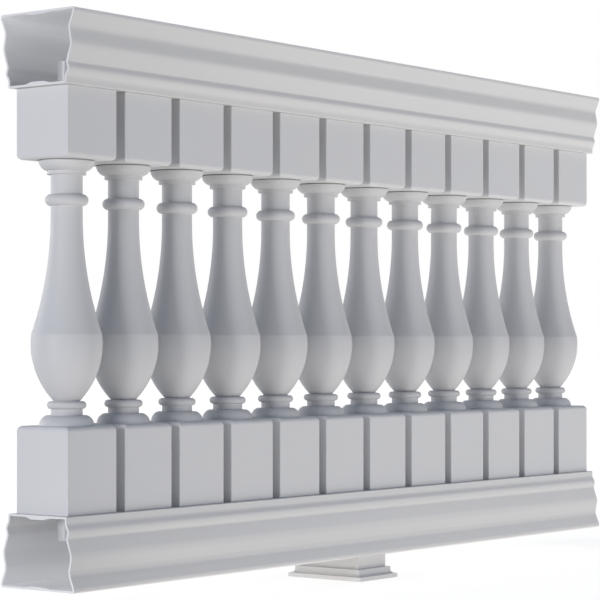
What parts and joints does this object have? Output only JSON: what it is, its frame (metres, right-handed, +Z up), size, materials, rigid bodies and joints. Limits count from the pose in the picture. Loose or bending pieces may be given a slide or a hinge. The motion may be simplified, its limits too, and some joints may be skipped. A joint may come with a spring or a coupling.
{
  "type": "balustrade section",
  "caption": "Straight white balustrade section: turned balusters with square blocks between two hollow moulded rails, on a foot at mid-span. Open rail ends fasten to posts.",
  "frame": {"origin": "centre of the foot's sole, under mid-length", "axes": "+X along the rails, +Z up, the pictured front faces -Y"},
  "size_m": [1.8288, 0.189, 1.0893],
  "materials": {
    "rail": "satin white extruded vinyl",
    "baluster": "matte white moulded polymer",
    "core": "plain pale grey vinyl",
    "foot": "satin white moulded vinyl"
  },
  "bodies": {
    "root": {"top_rail": "rail", "bottom_rail": "rail", "upper_block_01": "baluster", "upper_block_02": "baluster", "upper_block_03": "baluster", "upper_block_04": "baluster", "upper_block_05": "baluster", "upper_block_06": "baluster", "upper_block_07": "baluster", "upper_block_08": "baluster", "upper_block_09": "baluster", "upper_block_10": "baluster", "upper_block_11": "baluster", "upper_block_12": "baluster", "baluster_01": "baluster", "baluster_02": "baluster", "baluster_03": "baluster", "baluster_04": "baluster", "baluster_05": "baluster", "baluster_06": "baluster", "baluster_07": "baluster", "baluster_08": "baluster", "baluster_09": "baluster", "baluster_10": "baluster", "baluster_11": "baluster", "baluster_12": "baluster", "lower_block_01": "baluster", "lower_block_02": "baluster", "lower_block_03": "baluster", "lower_block_04": "baluster", "lower_block_05": "baluster", "lower_block_06": "baluster", "lower_block_07": "baluster", "lower_block_08": "baluster", "lower_block_09": "baluster", "lower_block_10": "baluster", "lower_block_11": "baluster", "lower_block_12": "baluster", "core_rods": "core", "foot_post": "foot", "foot_collar": "foot"}
  },
  "joints": []
}
